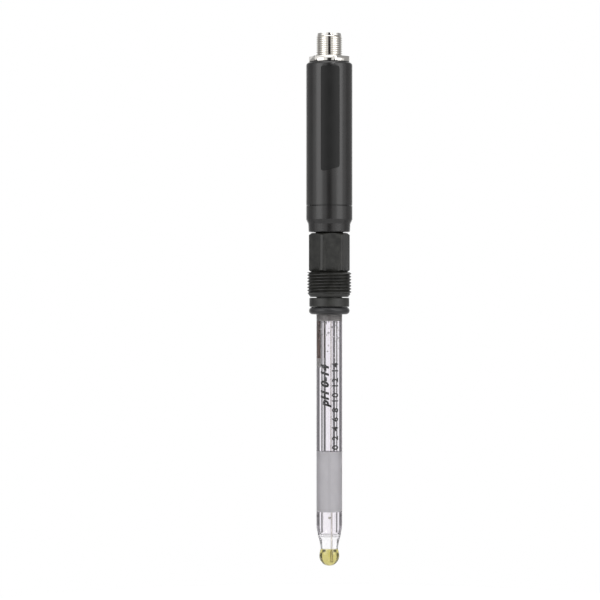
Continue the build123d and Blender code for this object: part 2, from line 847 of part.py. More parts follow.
# Connector body: shank, round flange, hexagon, thread at its crest diameter and plain end.
with BuildPart() as connector_shell:
    with BuildSketch(Plane.XY.offset(plug_hexagon_z)):
        RegularPolygon(plug_hexagon_across_flats / 2, 6, major_radius=False, rotation=plug_hexagon_angle)
    extrude(amount=plug_hexagon_height)
    flange_r = flange_diameter / 2
    with BuildSketch(Plane.XY.offset(plug_hexagon_z)):
        Circle(flange_r)
    extrude(amount=plug_hexagon_height, mode=Mode.INTERSECT)
    plug_r, plug_end_r = plug_thread_diameter / 2, plug_end_diameter / 2
    plug_shank_r = housing_bore_r - press_clearance
    revolve(
        outline(
            (shank_bore_r, shank_bottom_z),
            (plug_shank_r, shank_bottom_z),
            (plug_shank_r, flange_z),
            (flange_r, flange_z),
            (flange_r, plug_hexagon_z),
            (plug_neck_diameter / 2, plug_hexagon_z),
            (plug_neck_diameter / 2, plug_thread_z),
            (plug_r, plug_thread_z),
            (plug_r, plug_end_z),
            (plug_end_r, plug_end_z + plug_r - plug_end_r),
            (plug_end_r, plug_top_z),
            (plug_bore_r, plug_top_z),
            (plug_bore_r, shank_step_z),
            (shank_bore_r, shank_step_z),
        ),
        axis=Axis.Z,
    )
    with BuildSketch(Plane.XY.offset(plug_hexagon_z)):
        Circle(plug_bore_r)
    extrude(amount=plug_hexagon_height, mode=Mode.SUBTRACT)
finish(connector_shell, "connector_shell")

# Five pins on the standard circle, one of them in the middle.
pin_places = [(0.0, 0.0)] + [
    (pin_circle_diameter / 2 * cos(radians(a)), pin_circle_diameter / 2 * sin(radians(a)))
    for a in (45, 135, 225, 315)
]
with BuildPart() as connector_pins:
    with BuildSketch(Plane.XY.offset(plug_board_z)):
        with Locations(*pin_places):
            Circle(pin_r)
    extrude(amount=insert_face_z + pin_reach - plug_board_z)
    tips = connector_pins.faces().filter_by(GeomType.PLANE).group_by(Axis.Z)[-1]
    chamfer(tips.edges(), pin_edge)
finish(connector_pins, "connector_pins")

# Insulating insert with its base and the coding key.
with BuildPart() as connector_insert:
    insert_r = plug_bore_r - press_clearance
    revolve(
        outline(
            (0, insert_base_z),
            (shank_bore_r - press_clearance, insert_base_z),
            (shank_bore_r - press_clearance, shank_step_z - press_clearance),
            (insert_r, shank_step_z - press_clearance),
            (insert_r, insert_face_z),
            (0, insert_face_z),
        ),
        axis=Axis.Z,
    )
    with BuildSketch(Plane.XY.offset(insert_face_z)):
        Circle(insert_r)
        Circle(insert_r - key_depth, mode=Mode.SUBTRACT)
        with Locations((0, insert_r)):
            Rectangle(key_width, insert_r, mode=Mode.INTERSECT)
    extrude(amount=insert_face_depth - key_top_depth)
    with BuildSketch(Plane.XY.offset(insert_base_z)):
        with Locations(*pin_places):
            Circle(pin_r + pin_clearance)
    extrude(amount=insert_face_z - insert_base_z, mode=Mode.SUBTRACT)
finish(connector_insert, "connector_insert")

# Round board on the pins' tails.
with BuildPart() as connector_board:
    with BuildSketch(Plane.XY.offset(plug_board_z)):
        Circle(shank_bore_r - press_clearance)
        with Locations(*pin_places):
            Circle(pin_r + pin_clearance, mode=Mode.SUBTRACT)
    extrude(amount=plug_board_thickness - solder_gap)
finish(connector_board, "connector_board")

# Long board from the contact carrier up to the round board.
with BuildPart() as main_board:
    with BuildSketch(Plane.XZ.offset(-board_face)):
        board_top_z = plug_board_z - solder_gap
        with Locations((0, board_z + solder_gap)):
            Rectangle(
                board_width,
                board_top_z - board_tongue_length - board_z - solder_gap,
                align=(Align.CENTER, Align.MIN),
            )
        with Locations((0, board_top_z)):
            Rectangle(board_tongue_width, 2 * board_tongue_length, align=(Align.CENTER, Align.MAX))
    extrude(amount=-board_thickness)
finish(main_board, "main_board")

# Chips on the front of the long board: name, width, height, thickness, share of the board's length.
chips = [
    ("microcontroller", 7.0, 7.0, 1.2, 0.62),
    ("input_amplifier", 5.0, 4.0, 1.5, 0.22),
    ("signal_isolator", 7.5, 10.0, 2.2, 0.84),
]
for chip_name, chip_width, chip_height, chip_thickness, share in chips:
    with BuildPart() as chip:
        with BuildSketch(Plane.XZ.offset(-board_face + solder_gap)):
            with Locations((0, board_z + share * (plug_board_z - board_z))):
                Rectangle(chip_width, chip_height)
        extrude(amount=chip_thickness)
    finish(chip, chip_name)

# Contact carrier in the spigot, slotted on top for the long board.
with BuildPart() as socket_carrier:
    carrier_r = spigot_bore_r - press_clearance
    carrier_flange_r = housing_bore_r - carrier_flange_clearance
    revolve(
        outline(
            (0, ring_contact_z),
            (carrier_r, ring_contact_z),
            (carrier_r, floor_z + fluid_gap),
            (carrier_flange_r, floor_z + fluid_gap),
            (carrier_flange_r, carrier_top_z),
            (0, carrier_top_z),
        ),
        axis=Axis.Z,
    )
    with BuildSketch(Plane.XY.offset(ring_contact_z)):
        Circle(ring_contact_r + fluid_gap)
        Circle(ring_contact_bore_r - fluid_gap, mode=Mode.SUBTRACT)
    extrude(amount=ring_contact_height + fluid_gap, mode=Mode.SUBTRACT)
    with BuildSketch(Plane.XY.offset(ring_contact_z)):
        with Locations((ring_tail_x, ring_tail_y)):
            Circle(ring_tail_r + fluid_gap)
        Circle(centre_contact_diameter / 2 + fluid_gap)
    extrude(amount=carrier_top_z - ring_contact_z, mode=Mode.SUBTRACT)
    with BuildSketch(Plane.XY.offset(centre_collar_z - fluid_gap)):
        Circle(centre_contact_collar / 2 + fluid_gap)
    extrude(amount=centre_contact_collar_height + 2 * fluid_gap, mode=Mode.SUBTRACT)
    with BuildSketch(Plane.XY.offset(board_z)):
        with Locations((0, board_face + board_thickness / 2)):
            Rectangle(board_width + 2 * press_clearance, board_thickness + 2 * fluid_gap)
    extrude(amount=board_slot_depth, mode=Mode.SUBTRACT)
finish(socket_carrier, "socket_carrier")

# Ring contact and centre contact, each with a tail soldered to the long board.
with BuildPart() as ring_contact:
    with BuildSketch(Plane.XY.offset(ring_contact_z)):
        Circle(ring_contact_r)
        Circle(ring_contact_bore_r, mode=Mode.SUBTRACT)
    extrude(amount=ring_contact_height)
    with BuildSketch(Plane.XY.offset(ring_contact_z)):
        with Locations((ring_tail_x, ring_tail_y)):
            Circle(ring_tail_r)
    extrude(amount=tail_top_z - ring_contact_z)
finish(ring_contact, "ring_contact")

with BuildPart() as centre_contact:
    contact_r, contact_collar_r = centre_contact_diameter / 2, centre_contact_collar / 2
    revolve(
        outline(
            (0, centre_contact_z),
            (contact_r, centre_contact_z),
            (contact_r, centre_collar_z),
            (contact_collar_r, centre_collar_z),
            (contact_collar_r, centre_collar_z + centre_contact_collar_height),
            (centre_tail_r, centre_collar_z + centre_contact_collar_height),
            (centre_tail_r, tail_top_z),
            (0, tail_top_z),
        ),
        axis=Axis.Z,
    )
finish(centre_contact, "centre_contact")

# Soft ring in the spigot's mouth that seals against the stub's top.
with BuildPart() as coupling_seal:
    with BuildSketch(Plane.XY.offset(seal_bottom_z)):
        Circle(spigot_bore_r - press_clearance)
        Circle(seal_inner_r, mode=Mode.SUBTRACT)
    extrude(amount=seal_thickness)
finish(coupling_seal, "coupling_seal")
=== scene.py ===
# %% [markdown]
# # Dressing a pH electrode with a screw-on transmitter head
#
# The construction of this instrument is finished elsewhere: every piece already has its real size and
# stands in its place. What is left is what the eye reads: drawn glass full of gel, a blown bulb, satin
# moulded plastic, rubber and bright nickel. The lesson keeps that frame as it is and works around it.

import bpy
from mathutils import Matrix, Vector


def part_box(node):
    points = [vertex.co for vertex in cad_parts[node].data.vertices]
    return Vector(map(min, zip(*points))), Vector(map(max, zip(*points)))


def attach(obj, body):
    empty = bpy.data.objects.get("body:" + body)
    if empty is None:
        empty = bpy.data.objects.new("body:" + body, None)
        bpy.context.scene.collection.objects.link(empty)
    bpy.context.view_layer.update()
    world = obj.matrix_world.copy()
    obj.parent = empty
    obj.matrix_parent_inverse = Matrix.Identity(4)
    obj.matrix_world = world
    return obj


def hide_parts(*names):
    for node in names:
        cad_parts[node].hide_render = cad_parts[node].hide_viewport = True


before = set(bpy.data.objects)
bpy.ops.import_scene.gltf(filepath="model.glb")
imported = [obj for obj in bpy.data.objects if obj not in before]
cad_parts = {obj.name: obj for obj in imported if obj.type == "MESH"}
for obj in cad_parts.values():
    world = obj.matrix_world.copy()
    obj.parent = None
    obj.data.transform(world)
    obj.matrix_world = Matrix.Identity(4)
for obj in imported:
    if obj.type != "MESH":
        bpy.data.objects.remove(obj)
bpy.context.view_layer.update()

# %% [markdown]
# ## Units and colours
#
# Drawings of such parts are in millimetres and Blender works in metres, so one factor turns one into the
# other. Colours are written as they look on a screen, as hex values, and one function turns them linear,
# because light adds up in linear values.

# %% Units and colours
import math
import random

import bmesh
import bpy
from mathutils import Vector

MM = 0.001
scene = bpy.context.scene


def linear(hex_colour):
    """Linear, opaque RGBA of an sRGB hex colour such as '#3c3b3a'."""
    shares = [int(hex_colour[i : i + 2], 16) / 255 for i in (1, 3, 5)]
    return (*[s / 12.92 if s <= 0.04045 else ((s + 0.055) / 1.055) ** 2.4 for s in shares], 1.0)


def span(node_name):
    """Lowest and highest corner of a piece of the frame, in millimetres."""
    low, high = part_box(node_name)
    return [v / MM for v in low], [v / MM for v in high]


print("mid grey is", [round(v, 3) for v in linear("#808080")[:3]])

# %% [markdown]
# ## One way to add a node
#
# A shader is a small circuit. It can be drawn by hand in the shader editor, but a written one is the same
# on every run. One function adds one node: the settings name its sockets or properties, the links say
# which output feeds which input. It returns the node, so the next one can link to it.

# %% Adding a node


def node(owner, kind, settings=(), links=()):
    """Adds a node of that kind to a material or world, sets what is named and links what feeds it."""
    made = owner.node_tree.nodes.new("ShaderNode" + kind)
    for name, value in dict(settings).items():
        if isinstance(name, int) or name in made.inputs:
            made.inputs[name].default_value = value
        else:
            setattr(made, name, value)
    for name, output in dict(links).items():
        owner.node_tree.links.new(output, made.inputs[name])
    return made


def blank(name):
    """A new material without nodes."""
    material = bpy.data.materials.new(name)
    material.use_nodes = True
    material.node_tree.nodes.clear()
    return material


def surface(material, shader):
    """Links a shader to the material's output and returns the material."""
    node(material, "OutputMaterial", {}, {"Surface": shader.outputs[0]})
    return material


# %% [markdown]
# ## Borosilicate glass, drawn
#
# The shaft is a drawn tube of borosilicate glass with a refractive index of 1.47. Glass is seen by what it
# bends, and here it is full of gel: where gel wets the wall, light leaves glass for gel and not for air,
# so it bends far less. Glass and gel could each keep their own index, but then light would leave one for
# air and enter the other from air wherever they touch. So each face takes the ratio of the two indices that
# meet there, and each pair of touching faces bends the light once: the walls' wetted and fused faces carry
# nothing, because the filling's own face, or the next piece of glass, already does the bending.

# %% Glass and its fillings
GLASS_INDEX = 1.473
MEMBRANE_INDEX = 1.52
GEL_INDEX = 1.36
BUFFER_INDEX = 1.335


def clear(name, index, tint="#ffffff"):
    """A clear dielectric whose index is the ratio across its face."""
    material = blank(name)
    settings = {"Base Color": linear(tint), "Roughness": 0.0, "IOR": index, "Transmission Weight": 1.0}
    return surface(material, node(material, "BsdfPrincipled", settings))


def wet(name, tint="#ffffff"):
    """A face where two pieces meet without bending the light."""
    material = blank(name)
    return surface(material, node(material, "BsdfTransparent", {"Color": linear(tint)}))


drawn_glass = clear("borosilicate_drawn", GLASS_INDEX, "#fcfbfd")
stem_in_gel = clear("borosilicate_in_gel", GLASS_INDEX / GEL_INDEX)
gel_in_glass = clear("gel_against_glass", GEL_INDEX / GLASS_INDEX, "#f7f4f8")
buffer_in_glass = clear("buffer_against_glass", BUFFER_INDEX / GLASS_INDEX)
buffer_surface = clear("buffer_surface", BUFFER_INDEX)
void_in_gel = clear("void_in_gel", 1 / GEL_INDEX)
membrane_glass = clear("membrane_glass_blown", MEMBRANE_INDEX, "#d9d08c")

wetted = wet("glass_wetted_face")
membrane_wetted = wet("membrane_wetted_face", "#fbfaf0")
print("index ratios:", round(GLASS_INDEX / GEL_INDEX, 3), round(GEL_INDEX / GLASS_INDEX, 3))

# %% [markdown]
# ## Turned and blown sections
#
# Nearly all of this instrument is round, so most of its pieces are sections spun about the axis. Blender's
# Spin tool or a Screw modifier could do it. Building the rings by hand gives each stretch of the section
# its own material, which the glass needs, and closes the bulb in a single point.
#
# A section is a list of (radius, height) points. Glass that was soft once has no corners, so its stretches
# flow from station to station, and each station is a point with the direction that the wall has there.

# %% Points of a section
BEND_STEPS = 14
DOWN, UP = (0.0, -1.0), (0.0, 1.0)


def flow(stations, steps=BEND_STEPS):
    """Smooth run of a section through stations of (point, direction), with steps points to each."""
    points = [stations[0][0]]
    for (start, leaving), (end, arriving) in zip(stations, stations[1:]):
        reach = math.dist(start, end)
        for i in range(1, steps + 1):
            t = i / steps
            a, b = 2 * t**3 - 3 * t**2 + 1, -2 * t**3 + 3 * t**2
            c, d = t**3 - 2 * t**2 + t, t**3 - t**2
            point = [a * start[k] + b * end[k] + reach * (c * leaving[k] + d * arriving[k]) for k in (0, 1)]
            points.append(tuple(point))
    return points


def arc(centre_height, radius, start_angle, end_angle, steps=28, centre_radius=0.0):
    """Round stretch of a section; angles in degrees, 0 pointing away from the axis."""
    angles = [math.radians(start_angle + (end_angle - start_angle) * i / steps) for i in range(steps + 1)]
    return [(centre_radius + radius * math.cos(a), centre_height + radius * math.sin(a)) for a in angles]


def drawn_in(points, by):
    """The same stretch of a section, moved towards the axis, but never past it."""
    return [(max(radius - by, 0.0), height) for radius, height in points]


print("a quarter of a 1 mm rim:", [tuple(round(v, 2) for v in point) for point in arc(0, 1, 0, 90, 3)])

# %% [markdown]
# The section is then spun into rings, and the rings are joined by faces. A point on the axis makes a ring
# of one point. Every piece that this lesson makes is smooth but for edges sharper than 18 degrees, and
# rides on one body of the frame, so that it moves with it.

# %% Spinning a section
TURN_STEPS = 192
SHARP_EDGE = math.radians(18)
ON_AXIS = 1e-6


def polar(radius, angle, height):
    """A point in metres, from a radius and a height in millimetres and an angle in radians."""
    return radius * MM * math.cos(angle), radius * MM * math.sin(angle), height * MM


def to_object(name, shape, materials, body):
    """Makes an object from a bmesh, smooth but for its sharp edges, and lets it ride on its body."""
    bmesh.ops.recalc_face_normals(shape, faces=shape.faces)
    mesh = bpy.data.meshes.new(name)
    shape.to_mesh(mesh)
    shape.free()
    for material in materials:
        mesh.materials.append(material)
    mesh.shade_smooth()
    mesh.set_sharp_from_angle(angle=SHARP_EDGE)
    piece = bpy.data.objects.new(name, mesh)
    scene.collection.objects.link(piece)
    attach(piece, body)
    print(name, len(mesh.polygons), "faces")
    return piece


def turned(name, stretches, body):
    """A closed round piece from stretches of (material, points in mm).

    Each stretch starts where the one before it ended, and the first where the last ends."""
    shape = bmesh.new()
    materials = list(dict.fromkeys(material for material, _ in stretches))
    section = [(p, materials.index(m)) for m, points in stretches for p in points[:-1]]
    turns = [2 * math.pi * k / TURN_STEPS for k in range(TURN_STEPS)]
    rings = []
    for (radius, height), _ in section:
        around = turns if radius > ON_AXIS else turns[:1]
        rings.append([shape.verts.new(polar(radius, turn, height)) for turn in around])
    for i, (_, skin) in enumerate(section):
        here, there = rings[i], rings[(i + 1) % len(rings)]
        if len(here) == len(there) == 1:
            continue
        for k in range(TURN_STEPS):
            near = [here[n % len(here)] for n in (k, k + 1)]
            far = [there[n % len(there)] for n in (k + 1, k)]
            shape.faces.new(list(dict.fromkeys(near + far))).material_index = skin
    return to_object(name, shape, materials, body)


# %% [markdown]
# ## The shaft and the ring seal
#
# A glassblower draws the outer tube in at its end and flares the inner tube into a bell until the two rims
# fuse. The ring seal is where they meet. Radii and heights of the ends are read from the frame's pieces,
# and the stations between them are the sizes that a caliper would find on the glass. A tube from Blender's
# cylinder would do for the long part, but not for the shoulder, so all of it is one section. Its outer skin
# has one more ring where the glass's dark finish begins, which is painted shade for the gap under the head.

# %% Outer tube
shaft_low, shaft_high = span("glass_shaft")
stem_low, stem_high = span("inner_stem")
SHAFT_R, SHAFT_TOP, SEAL_Z = shaft_high[0], shaft_high[2], shaft_low[2]
SEAL_R, STEM_TOP, NECK_Z = stem_high[0], stem_high[2], stem_low[2]
WALL, SEAL_LIP = 1.1, 0.14
BORE_R = SHAFT_R - WALL
SEAL_BORE_R = SEAL_R - WALL + SEAL_LIP
SHOULDER_Z = SEAL_Z + 4.3
MID_Z = SEAL_Z + 1.8
MID_R, MID_BORE_R = 5.6, 4.57
MID_LEAN, MID_BORE_LEAN = (-0.27, -0.96), (0.2, 0.98)
SEAL_LEAN, SEAL_BORE_LEAN = (-0.15, -0.99), (0.02, 1.0)
GAP_SHADE_Z = 1.0

outer_skin = [(SHAFT_R, SHAFT_TOP), (SHAFT_R, GAP_SHADE_Z)]
outer_skin += flow(
    [((SHAFT_R, SHOULDER_Z), DOWN), ((MID_R, MID_Z), MID_LEAN), ((SEAL_R, SEAL_Z), SEAL_LEAN)]
)
inner_skin = flow(
    [
        ((SEAL_BORE_R, SEAL_Z), SEAL_BORE_LEAN),
        ((MID_BORE_R, MID_Z), MID_BORE_LEAN),
        ((BORE_R, SHOULDER_Z), UP),
    ]
)
inner_skin += [(BORE_R, SHAFT_TOP)]

shaft = turned(
    "shaft_tube",
    [
        (drawn_glass, outer_skin),
        (wetted, [(SEAL_R, SEAL_Z), (SEAL_BORE_R, SEAL_Z)]),
        (wetted, inner_skin),
        (drawn_glass, [(BORE_R, SHAFT_TOP), (SHAFT_R, SHAFT_TOP)]),
    ],
    "electrode",
)
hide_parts("glass_shaft")

# %% [markdown]
# The inner tube is wetted by gel outside and by buffer inside, up to the buffer's level. Above that its
# bore is dry, and a dry bore throws light back, so the tube draws two darker lines there. The bell is an
# arc that leaves the tube straight down and ends at the seal's bore. Below the seal the same piece of glass
# is the outer wall: it narrows to a waist, a throat and the neck.

# %% Inner tube with its bell
STEM_R, STEM_BORE_R = 2.8, 2.0
BELL_Z = SEAL_Z + 2.0
BELL_R, BELL_SWEEP = 2.0446, 78
NECK_R, NECK_BORE_R = 4.0, 3.05
WAIST, WAIST_LEAN = (4.7, SEAL_Z - 2.3), (-0.26, -0.965)
THROAT, THROAT_LEAN = (4.28, NECK_Z + 2.2), (-0.15, -0.99)
BORE_WAIST, BORE_WAIST_LEAN = (3.75, NECK_Z + 4.1), (-0.02, 1.0)
BORE_FLARE, BORE_FLARE_LEAN = (3.2, NECK_Z + 6.1), (-0.4, 0.92)
BUFFER_LEVEL = span("buffer_solution")[1][2]

bell = arc(BELL_Z, BELL_R, 180, 180 + BELL_SWEEP, steps=16, centre_radius=STEM_R + BELL_R)
bell += [(SEAL_BORE_R, SEAL_Z)]
below_seal = flow(
    [((SEAL_R, SEAL_Z), SEAL_LEAN), (WAIST, WAIST_LEAN), (THROAT, THROAT_LEAN), ((NECK_R, NECK_Z), DOWN)]
)
bore_skin = flow(
    [
        ((NECK_BORE_R, NECK_Z), UP),
        (BORE_WAIST, BORE_WAIST_LEAN),
        (BORE_FLARE, BORE_FLARE_LEAN),
        ((STEM_BORE_R, BELL_Z), UP),
    ]
)
bore_skin += [(STEM_BORE_R, BUFFER_LEVEL)]

stem = turned(
    "inner_tube",
    [
        (stem_in_gel, [(STEM_R, STEM_TOP)] + bell),
        (wetted, [(SEAL_BORE_R, SEAL_Z), (SEAL_R, SEAL_Z)]),
        (drawn_glass, below_seal),
        (wetted, [(NECK_R, NECK_Z), (NECK_BORE_R, NECK_Z)]),
        (wetted, bore_skin),
        (drawn_glass, [(STEM_BORE_R, BUFFER_LEVEL), (STEM_BORE_R, STEM_TOP), (STEM_R, STEM_TOP)]),
    ],
    "electrode",
)
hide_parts("inner_stem")

# %% [markdown]
# ## The blown bulb
#
# The bulb is the part that measures. It is blown from a lithium glass that is tinted yellow, and thin
# enough to conduct. Its tint could be a volume, but a volume has to leave through the same material that it
# entered by, and the wetted face inside is another one. So each crossing of a face takes its share.

# %% Bulb
BULB_STEPS = 20
BULB_WALL = 0.5
bulb_low, bulb_high = span("ph_membrane")
BULB_R, TIP_Z = bulb_high[0], bulb_low[2]
BULB_Z = TIP_Z + BULB_R
BULB_BORE_R = BULB_R - BULB_WALL
BULB_FLOOR_Z = TIP_Z + BULB_WALL
NECK_FLARE, NECK_BORE_FLARE = (0.36, -0.93), (-0.55, 0.83)

bulb_outside = flow([((NECK_R, NECK_Z), NECK_FLARE), ((BULB_R, BULB_Z), DOWN)], BULB_STEPS)
bulb_outside += arc(BULB_Z, BULB_R, 0, -90)[1:-1] + [(0.0, TIP_Z)]
bulb_inside = [(0.0, BULB_FLOOR_Z)] + arc(BULB_Z, BULB_BORE_R, -90, 0)[1:]
bulb_inside += flow([((BULB_BORE_R, BULB_Z), UP), ((NECK_BORE_R, NECK_Z), NECK_BORE_FLARE)], BULB_STEPS)[1:]

bulb = turned(
    "bulb",
    [
        (membrane_glass, bulb_outside),
        (membrane_wetted, [(0.0, TIP_Z), (0.0, BULB_FLOOR_Z)]),
        (membrane_wetted, bulb_inside),
        (membrane_wetted, [(NECK_BORE_R, NECK_Z), (NECK_R, NECK_Z)]),
    ],
    "electrode",
)
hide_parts("ph_membrane")

# %% [markdown]
# ## Buffer and gels
#
# The fillings are clear liquids and gels. A filling could be left out, as it has no colour to speak of, but
# then every wall would bend light as an empty tube does. So each filling is a piece of its own. Its outer
# face carries the bend from glass to liquid, and its other faces are wetted, but for the buffer's level,
# where liquid meets air. A filling stands a film's breadth inside the walls, as it does in the frame, so
# that no two faces fight for one place.

# %% Fillings
FILM = 0.02

buffer_skin = [(0.0, BULB_FLOOR_Z + FILM)] + arc(BULB_Z, BULB_BORE_R - FILM, -90, 0)[1:]
buffer_skin += drawn_in(bulb_inside[-BULB_STEPS:] + bore_skin[1:], FILM)
buffer = turned(
    "buffer_filling",
    [
        (buffer_in_glass, buffer_skin),
        (buffer_surface, [(STEM_BORE_R - FILM, BUFFER_LEVEL), (0.0, BUFFER_LEVEL)]),
        (wetted, [(0.0, BUFFER_LEVEL), (0.0, BULB_FLOOR_Z + FILM)]),
    ],
    "electrode",
)
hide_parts("buffer_solution")

gel_low, gel_high = span("upper_gel")
GEL_R, GEL_BORE_R = gel_high[0], STEM_R + FILM
GEL_FOOT, GEL_TOP = gel_low[2], gel_high[2]
upper_gel = turned(
    "upper_gel_filling",
    [
        (gel_in_glass, [(GEL_R, GEL_TOP), (GEL_R, GEL_FOOT)]),
        (wetted, [(GEL_R, GEL_FOOT), (GEL_BORE_R, GEL_FOOT), (GEL_BORE_R, GEL_TOP), (GEL_R, GEL_TOP)]),
    ],
    "electrode",
)
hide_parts("upper_gel")

LOWER_GEL_TOP = span("lower_gel")[1][2]
gel_wall = drawn_in(inner_skin[1:-1], FILM)[::-1]
gel_bell = drawn_in(bell[:-1], -FILM)[::-1]
lower_gel = turned(
    "lower_gel_filling",
    [
        (gel_in_glass, [(GEL_R, LOWER_GEL_TOP)] + gel_wall),
        (wetted, gel_wall[-1:] + gel_bell + [(GEL_BORE_R, LOWER_GEL_TOP), (GEL_R, LOWER_GEL_TOP)]),
    ],
    "electrode",
)
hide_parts("lower_gel")

# %% [markdown]
# Just above the ring seal a fine line of air stays in the wall. It draws the dark line over the bulb. It
# could be painted on as a stripe, but a real ring bends with the glass from every side. It takes the same
# void as the bubbles further on, because no one can tell the two apart in a line this fine.

# %% Seal line
SEAL_LINE_R, SEAL_LINE_RISE, HALF_THICK = 4.55, 0.35, 0.13
seal_ring = arc(SEAL_Z + SEAL_LINE_RISE, HALF_THICK, 0, 360, steps=16, centre_radius=SEAL_LINE_R)
turned("seal_line", [(void_in_gel, seal_ring)], "electrode")

# %% [markdown]
# ## Salt, cartridge, resin and ceramic
#
# Behind the glass stand opaque things: the reserve of salt as a milky slurry, the brown cartridge with its
# pale fibre plug, the grey resin that closes the gap, and the white ceramic pins. None is one flat colour:
# slurry settles in clouds, resin is cast, fibre and ceramic are porous. A photographed texture could show
# that, but it would have to be fitted to each piece. A noise needs no fitting, and its scale is the grain
# in millimetres. The pores of fired ceramic are too fine for the picture, so they are drawn at 0.15 mm.

# %% Grain and opaque fillings
CLOUD_STOPS = (0.3, 0.7)


def cloudy(name, dark, light, grain_mm, roughness, relief_mm=0.0, stretch=(1, 1, 1)):
    """An opaque material that wanders between two colours, with grain_mm between its clouds."""
    material = blank(name)
    place = node(material, "TexCoord")
    scaled = node(material, "Mapping", {"Scale": stretch}, {"Vector": place.outputs["Object"]})
    clouds = node(
        material, "TexNoise", {"Scale": 1 / (grain_mm * MM), "Detail": 4.0, "Roughness": 0.6},
        {"Vector": scaled.outputs[0]},
    )
    colour = node(material, "ValToRGB", {}, {"Fac": clouds.outputs[0]})
    for stop, position, shade in zip(colour.color_ramp.elements, CLOUD_STOPS, (dark, light)):
        stop.position, stop.color = position, linear(shade)
    links = {"Base Color": colour.outputs[0]}
    if relief_mm:
        settings = {"Strength": 0.6, "Distance": relief_mm * MM}
        links["Normal"] = node(material, "Bump", settings, {"Height": clouds.outputs[0]}).outputs[0]
    return surface(material, node(material, "BsdfPrincipled", {"Roughness": roughness}, links))


salt = cloudy(
    "potassium_chloride_slurry", "#dad8db", "#e2e0e3", grain_mm=3.0, roughness=0.6, stretch=(1, 1, 0.5)
)
cartridge = cloudy(
    "reference_cartridge_filled", "#4c3830", "#6e564a", grain_mm=2.5, roughness=0.35, stretch=(1, 1, 0.2)
)
fibre_plug = cloudy(
    "glass_fibre_pressed", "#9d9c98", "#c2c1bd", grain_mm=0.5, roughness=0.8, relief_mm=0.05
)
cast_resin = cloudy(
    "epoxy_cast_grey", "#8f8a89", "#a29e9c", grain_mm=1.2, roughness=0.45, relief_mm=0.02
)
ceramic = cloudy(
    "zirconia_fired_porous", "#cfccc4", "#e6e3dc", grain_mm=0.15, roughness=0.75, relief_mm=0.02
)
print("opaque fillings:", [m.name for m in (salt, cartridge, fibre_plug, cast_resin, ceramic)])

# %% [markdown]
# ## Satin plastics and rubber
#
# The screw head is moulded from a glass-filled high-temperature plastic, the transmitter housing from a
# finer black one with a spark-eroded face. Both are satin, which means a middling roughness: the soft boxes
# show as broad bands with soft edges. The filled plastic scatters most, the housing least, and rubber lies
# between them. Blacks like these differ more in gloss than in colour, so the patches change both a little.
# The grain of a mould is finer than a pixel of this picture. It is drawn at 0.2 to 0.5 mm and very shallow,
# which is just enough to break the edges of the shine.

# %% Plastics and rubber
PATCH_STOPS, GLOSS_STOPS = (0.35, 0.65), (0.3, 0.7)


def satin(name, dark, light, patch_mm, roughness, spread, grain_mm, grain_depth_mm, index, sheen=0.5):
    """A satin face: patches in colour and gloss, and the fine grain of the mould or coat as a bump."""
    material = blank(name)
    place = node(material, "TexCoord")
    patches = node(
        material, "TexNoise", {"Scale": 1 / (patch_mm * MM), "Detail": 5.0, "Roughness": 0.55},
        {"Vector": place.outputs["Object"]},
    )
    colour = node(material, "ValToRGB", {}, {"Fac": patches.outputs[0]})
    for stop, position, shade in zip(colour.color_ramp.elements, PATCH_STOPS, (dark, light)):
        stop.position, stop.color = position, linear(shade)
    smoothest, roughest = roughness - spread, roughness + spread
    gloss = node(
        material, "MapRange",
        {"From Min": GLOSS_STOPS[0], "From Max": GLOSS_STOPS[1], "To Min": smoothest, "To Max": roughest},
        {"Value": patches.outputs[0]},
    )
    grain = node(
        material, "TexNoise", {"Scale": 1 / (grain_mm * MM), "Detail": 2.0},
        {"Vector": place.outputs["Object"]},
    )
    relief = node(
        material, "Bump", {"Strength": 0.35, "Distance": grain_depth_mm * MM}, {"Height": grain.outputs[0]}
    )
    shader = node(
        material, "BsdfPrincipled", {"IOR": index, "Specular IOR Level": sheen},
        {"Base Color": colour.outputs[0], "Roughness": gloss.outputs[0], "Normal": relief.outputs[0]},
    )
    return surface(material, shader)


head_plastic = satin(
    "polyphenylene_sulphide_moulded", "#151513", "#272724",
    patch_mm=3.0, roughness=0.40, spread=0.09, grain_mm=0.35, grain_depth_mm=0.01, index=1.6, sheen=0.38,
)
housing_plastic = satin(
    "polyamide_spark_eroded", "#1c1b1b", "#212020",
    patch_mm=8.0, roughness=0.25, spread=0.02, grain_mm=0.25, grain_depth_mm=0.004, index=1.55, sheen=0.45,
)
rubber = satin(
    "fluoro_rubber_moulded", "#242425", "#2c2c2d",
    patch_mm=2.0, roughness=0.32, spread=0.05, grain_mm=0.3, grain_depth_mm=0.005, index=1.45,
)
label_film = satin(
    "polyester_film_matt", "#0e0e0e", "#121212",
    patch_mm=6.0, roughness=0.5, spread=0.04, grain_mm=0.2, grain_depth_mm=0.003, index=1.5, sheen=0.3,
)
insulator = satin(
    "polyamide_black_turned", "#151515", "#1c1c1c",
    patch_mm=2.0, roughness=0.4, spread=0.05, grain_mm=0.3, grain_depth_mm=0.01, index=1.53,
)
white_insulator = satin(
    "fluoropolymer_turned", "#dad9d4", "#e6e5e1",
    patch_mm=2.0, roughness=0.45, spread=0.05, grain_mm=0.3, grain_depth_mm=0.01, index=1.38,
)
board = satin(
    "glass_epoxy_green_masked", "#0e4224", "#13502d",
    patch_mm=2.0, roughness=0.3, spread=0.05, grain_mm=0.5, grain_depth_mm=0.01, index=1.5,
)
print("satin faces:", [m.name for m in (head_plastic, housing_plastic, rubber, label_film)])
print("inside the head:", [m.name for m in (insulator, white_insulator, board)])

